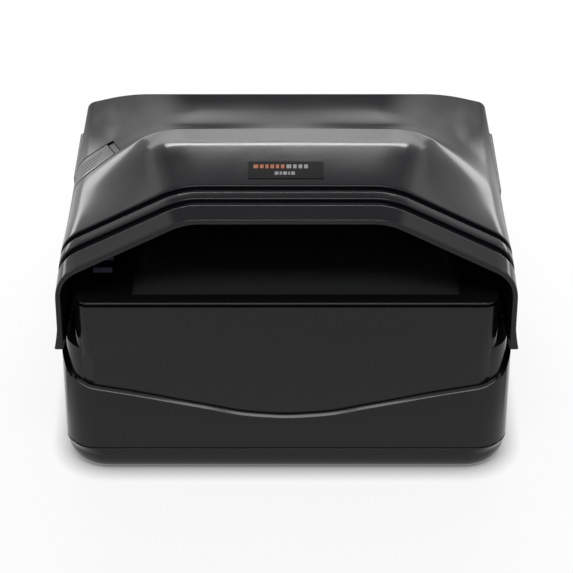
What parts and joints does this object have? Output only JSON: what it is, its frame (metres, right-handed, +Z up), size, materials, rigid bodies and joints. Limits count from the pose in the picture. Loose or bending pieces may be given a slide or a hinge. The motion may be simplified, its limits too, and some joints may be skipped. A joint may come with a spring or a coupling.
{
  "type": "passport reader",
  "caption": "Desktop full-page passport reader in satin black plastic: a document window in a glossy deck under a hinged daylight hood with a spring latch.",
  "frame": {"origin": "middle of the footprint, on the surface the feet stand on", "axes": "+Z up; -Y is the open front, where a document is laid in; +X is to the right for a person who faces the front"},
  "size_m": [0.1874, 0.156, 0.1298],
  "materials": {
    "black_satin": "fine satin grain",
    "deck_gloss": "polished",
    "inner_black": "matt",
    "latch_grey": "satin",
    "rubber": "matt",
    "window_glass": "polished, smoked",
    "lens_glass": "polished",
    "light_guide": "translucent",
    "circuit_board": "solder mask",
    "steel": "zinc plated",
    "aluminium": "extruded",
    "copper": "bare metal foil",
    "mirror": "front silvered",
    "white_plastic": "satin",
    "chip_black": "moulded"
  },
  "bodies": {
    "base": {"base_tray": "black_satin", "lower_shell": "black_satin", "upper_housing": "black_satin", "deck": "deck_gloss", "latch_catch": "steel", "hinge_bush_left": "white_plastic", "hinge_bush_right": "white_plastic", "hood_bumper_left": "rubber", "hood_bumper_right": "rubber", "window_glass": "window_glass", "window_seal": "rubber", "chip_antenna": "copper", "status_light_1": "light_guide", "status_light_2": "light_guide", "status_light_board": "circuit_board", "optics_housing": "inner_black", "mirror": "mirror", "led_board_left": "circuit_board", "led_board_right": "circuit_board", "led_diffuser_left": "white_plastic", "led_diffuser_right": "white_plastic", "camera_holder": "inner_black", "lens_barrel": "inner_black", "lens": "lens_glass", "camera_board": "circuit_board", "camera_cable": "white_plastic", "main_board": "circuit_board", "processor": "chip_black", "heat_sink": "aluminium", "buzzer": "inner_black", "data_socket": "steel", "power_socket": "inner_black", "rubber_foot_1": "rubber", "base_screw_1": "steel", "board_screw_1": "steel", "rubber_foot_2": "rubber", "base_screw_2": "steel", "board_screw_2": "steel", "rubber_foot_3": "rubber", "base_screw_3": "steel", "board_screw_3": "steel", "rubber_foot_4": "rubber", "base_screw_4": "steel", "board_screw_4": "steel"},
    "hood": {"hood": "black_satin", "side_pad_left": "black_satin", "side_pad_right": "black_satin", "name_plate": "deck_gloss", "hinge_pin_left": "steel", "hinge_pin_right": "steel", "latch_bracket": "inner_black", "latch_spring": "steel"},
    "latch": {"latch_tab": "latch_grey"}
  },
  "joints": [
    {"name": "hood_hinge", "type": "hinge", "parent": "base", "child": "hood", "pos_m": [0, 0.066, 0.0705], "axis": [-1, 0, 0], "range_deg": [0, 85]},
    {"name": "latch_press", "type": "slide", "parent": "hood", "child": "latch", "axis": [1, 0, 0], "range_m": [0, 0.002], "stiffness_N_per_m": 400, "springref_m": -0.002, "deforming": ["latch_spring"]}
  ]
}
